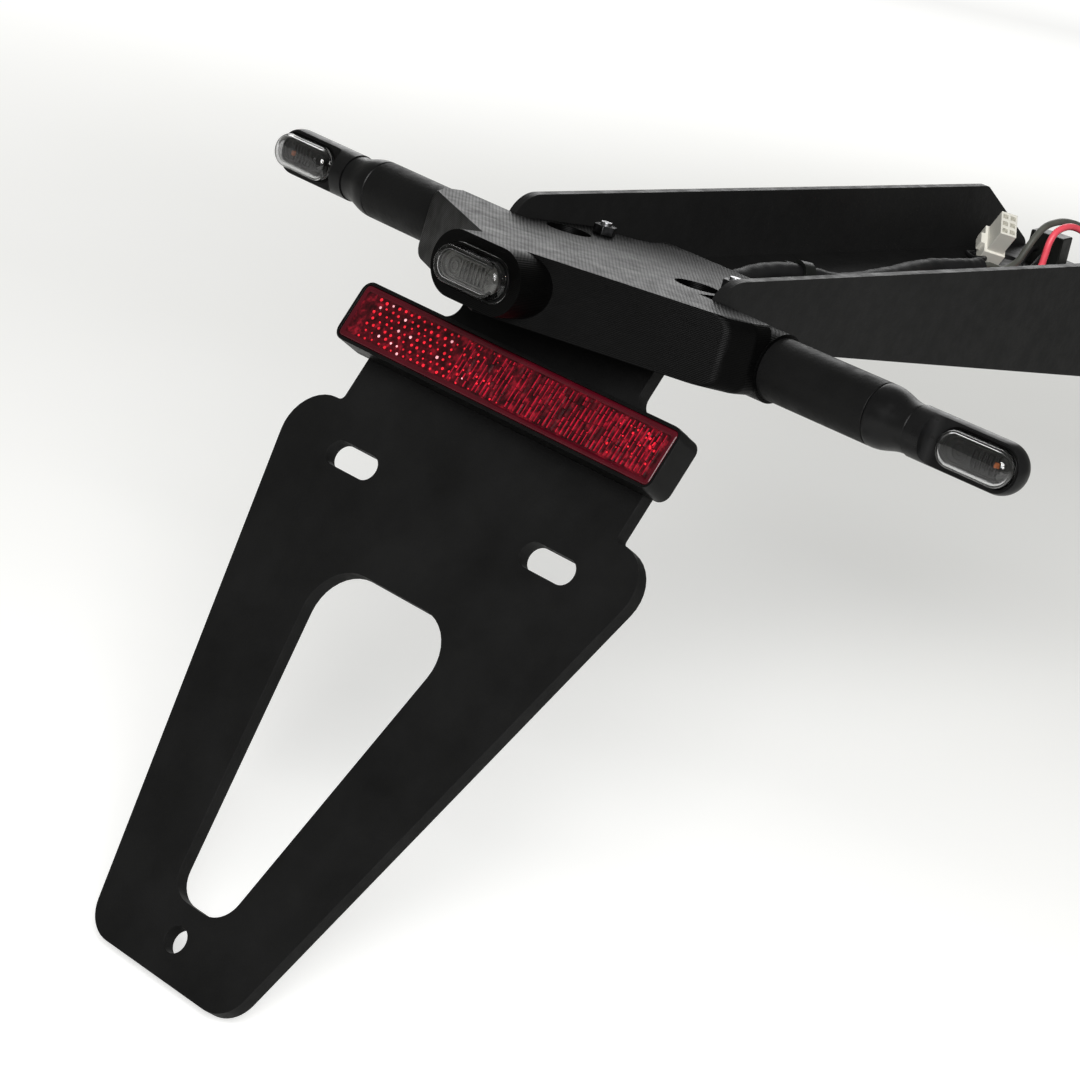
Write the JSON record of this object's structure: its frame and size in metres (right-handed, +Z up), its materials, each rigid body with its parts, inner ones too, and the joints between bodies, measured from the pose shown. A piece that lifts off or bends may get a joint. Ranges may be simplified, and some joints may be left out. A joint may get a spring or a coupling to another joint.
{
  "type": "tail tidy",
  "caption": "Motorcycle tail tidy: folded number plate bracket with reflector, printed lamp body with tail lamp and two stalk indicators, and a sheet undertray with its loom and plugs.",
  "frame": {"origin": "middle of the tray's four mounting holes, on the underside of the tray's floor", "axes": "+X to the vehicle's right, +Y forward along the tray, +Z up, square to the tray's front floor"},
  "size_m": [0.262, 0.3312, 0.1875],
  "materials": {
    "powder_black": "satin",
    "print_grey": "matte",
    "smooth_black": "satin",
    "lens_red": "gloss",
    "lens_smoke": "clear",
    "board_green": "matte",
    "zinc": "satin",
    "bolt_black": "satin",
    "sleeve": "matte",
    "wire_black": "satin",
    "wire_red": "satin",
    "plug_white": "satin",
    "plug_black": "satin"
  },
  "bodies": {
    "root": {"plate_bracket": "powder_black", "reflector_housing": "smooth_black", "reflector_lens": "lens_red", "reflector_studs": "zinc", "reflector_washers": "zinc", "reflector_nuts": "zinc", "lamp_body": "print_grey", "tail_lens": "lens_smoke", "tail_lamp_board": "board_green", "stalk_left": "print_grey", "stalk_right": "print_grey", "collar_left": "smooth_black", "collar_right": "smooth_black", "indicator_housing_left": "smooth_black", "indicator_housing_right": "smooth_black", "indicator_lens_left": "lens_smoke", "indicator_lens_right": "lens_smoke", "indicator_board_left": "board_green", "indicator_board_right": "board_green", "indicator_lead_left": "wire_black", "indicator_lead_right": "wire_black", "undertray": "powder_black", "tray_screws": "bolt_black", "tray_washers": "zinc", "tray_nuts": "zinc", "tongue_bolts": "zinc", "tongue_washers": "zinc", "tongue_nuts": "zinc", "loom": "sleeve", "cable_tie": "plug_black", "connector_tails": "wire_black", "white_connector": "plug_white", "black_connector": "plug_black", "black_wire": "wire_black", "red_wire": "wire_red", "supply_plug": "plug_black"}
  },
  "joints": []
}
